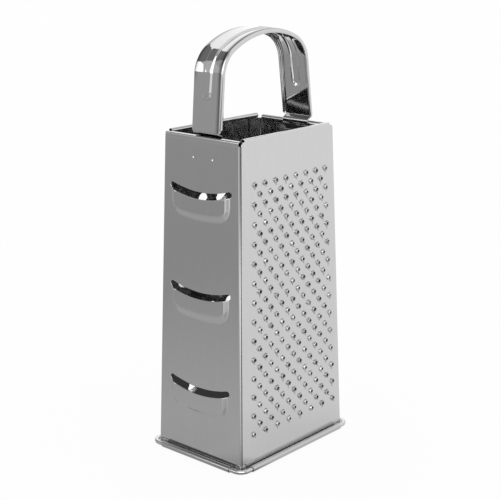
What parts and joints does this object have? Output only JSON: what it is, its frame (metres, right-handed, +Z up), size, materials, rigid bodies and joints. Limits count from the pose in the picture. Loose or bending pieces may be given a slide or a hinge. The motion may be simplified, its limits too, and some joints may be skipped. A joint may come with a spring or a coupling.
{
  "type": "box grater",
  "caption": "Tapered sheet-steel box grater with burr-grating, shredding, slicing and zesting panels, a wired base rim and an arched strap handle to hold it down by.",
  "frame": {"origin": "middle of the base, on the surface that the grater stands on", "axes": "+Z up through the handle, -Y out of the slicing panel, +X out of the fine grating panel"},
  "size_m": [0.067, 0.0906, 0.2202],
  "materials": {
    "wide_panel_steel": "satin stainless sheet",
    "narrow_panel_steel": "satin stainless sheet",
    "handle_steel": "polished stainless strip",
    "wire_steel": "drawn steel wire"
  },
  "bodies": {
    "root": {"fine_grating_panel": "wide_panel_steel", "coarse_shredding_panel": "wide_panel_steel", "slicing_panel": "narrow_panel_steel", "zesting_panel": "narrow_panel_steel", "base_wire": "wire_steel", "strap_handle": "handle_steel"}
  },
  "joints": []
}
